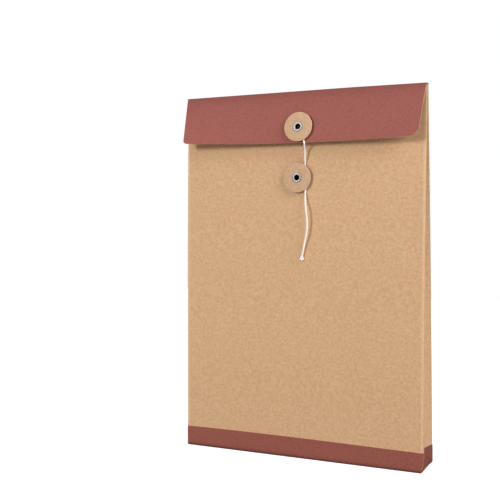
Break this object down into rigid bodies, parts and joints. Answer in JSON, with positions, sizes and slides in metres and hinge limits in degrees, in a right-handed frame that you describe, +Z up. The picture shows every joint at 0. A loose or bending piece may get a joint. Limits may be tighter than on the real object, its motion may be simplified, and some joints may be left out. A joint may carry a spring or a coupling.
{
  "type": "string tie envelope",
  "caption": "Kraft board document pouch that stands on a block bottom, with pleated sides, a scored fold-over flap and disc buttons with a string that winds between them.",
  "frame": {"origin": "middle of the base, on the surface that the pouch stands on", "axes": "+Z up the pouch, +X across the front, +Y from the front panel to the back panel"},
  "size_m": [0.2308, 0.0337, 0.33],
  "materials": {
    "kraft_board": "uncoated",
    "maroon_paper": "embossed leather grain",
    "button_board": "pressed",
    "eyelet_metal": "nickel plated",
    "cotton_string": "twisted cotton"
  },
  "bodies": {
    "pouch": {"back_panel": "kraft_board", "base_panel": "kraft_board", "left_gusset_rear": "kraft_board", "right_gusset_rear": "kraft_board", "bottom_wrap_base": "maroon_paper", "bottom_wrap_back": "maroon_paper", "bottom_wrap_left": "maroon_paper", "bottom_wrap_right": "maroon_paper"},
    "front_wall": {"front_panel": "kraft_board", "left_gusset_front": "kraft_board", "right_gusset_front": "kraft_board", "bottom_wrap_front": "maroon_paper", "lower_eyelet": "eyelet_metal"},
    "lower_disc": {"lower_button": "button_board"},
    "spine": {"flap_spine_board": "kraft_board", "flap_spine_cover": "maroon_paper"},
    "flap": {"flap_board": "kraft_board", "flap_cover": "maroon_paper", "upper_eyelet": "eyelet_metal", "string_loop": "cotton_string"},
    "upper_disc": {"upper_button": "button_board"},
    "string_end": {"string_tail": "cotton_string", "string_tip": "cotton_string"}
  },
  "joints": [
    {"name": "flap_lift", "type": "hinge", "parent": "pouch", "child": "spine", "pos_m": [0, 0.00195, 0.3294], "axis": [-1, 0, 0], "range_deg": [0, 90]},
    {"name": "flap_unfold", "type": "hinge", "parent": "spine", "child": "flap", "pos_m": [0, -0.003, 0.3294], "axis": [-1, 0, 0], "range_deg": [0, 79.1]},
    {"name": "mouth_open", "type": "hinge", "parent": "pouch", "child": "front_wall", "pos_m": [0, -0.015, 0], "axis": [1, 0, 0], "range_deg": [0, 4.34]},
    {"name": "string_hang", "type": "hinge", "parent": "flap", "child": "string_end", "pos_m": [0.00794, -0.01375, 0.28224], "axis": [-1, 0, 0], "range_deg": [-169.2, 0], "deforming": ["string_tail", "string_tip"]},
    {"name": "upper_button_turn", "type": "hinge", "parent": "flap", "child": "upper_disc", "pos_m": [0.0017, -0.00992, 0.29692], "axis": [0, -0.9816, 0.1908], "continuous": true},
    {"name": "lower_button_turn", "type": "hinge", "parent": "front_wall", "child": "lower_disc", "pos_m": [-0.0013, -0.00628, 0.25245], "axis": [0, -0.9988, 0.048], "continuous": true}
  ],
  "couplings": [
    {"joint": "flap_unfold", "follows": "flap_lift", "ratio": 0.87778},
    {"joint": "mouth_open", "follows": "flap_lift", "ratio": 0.048},
    {"joint": "string_hang", "follows": "flap_lift", "ratio": -1.8778}
  ]
}
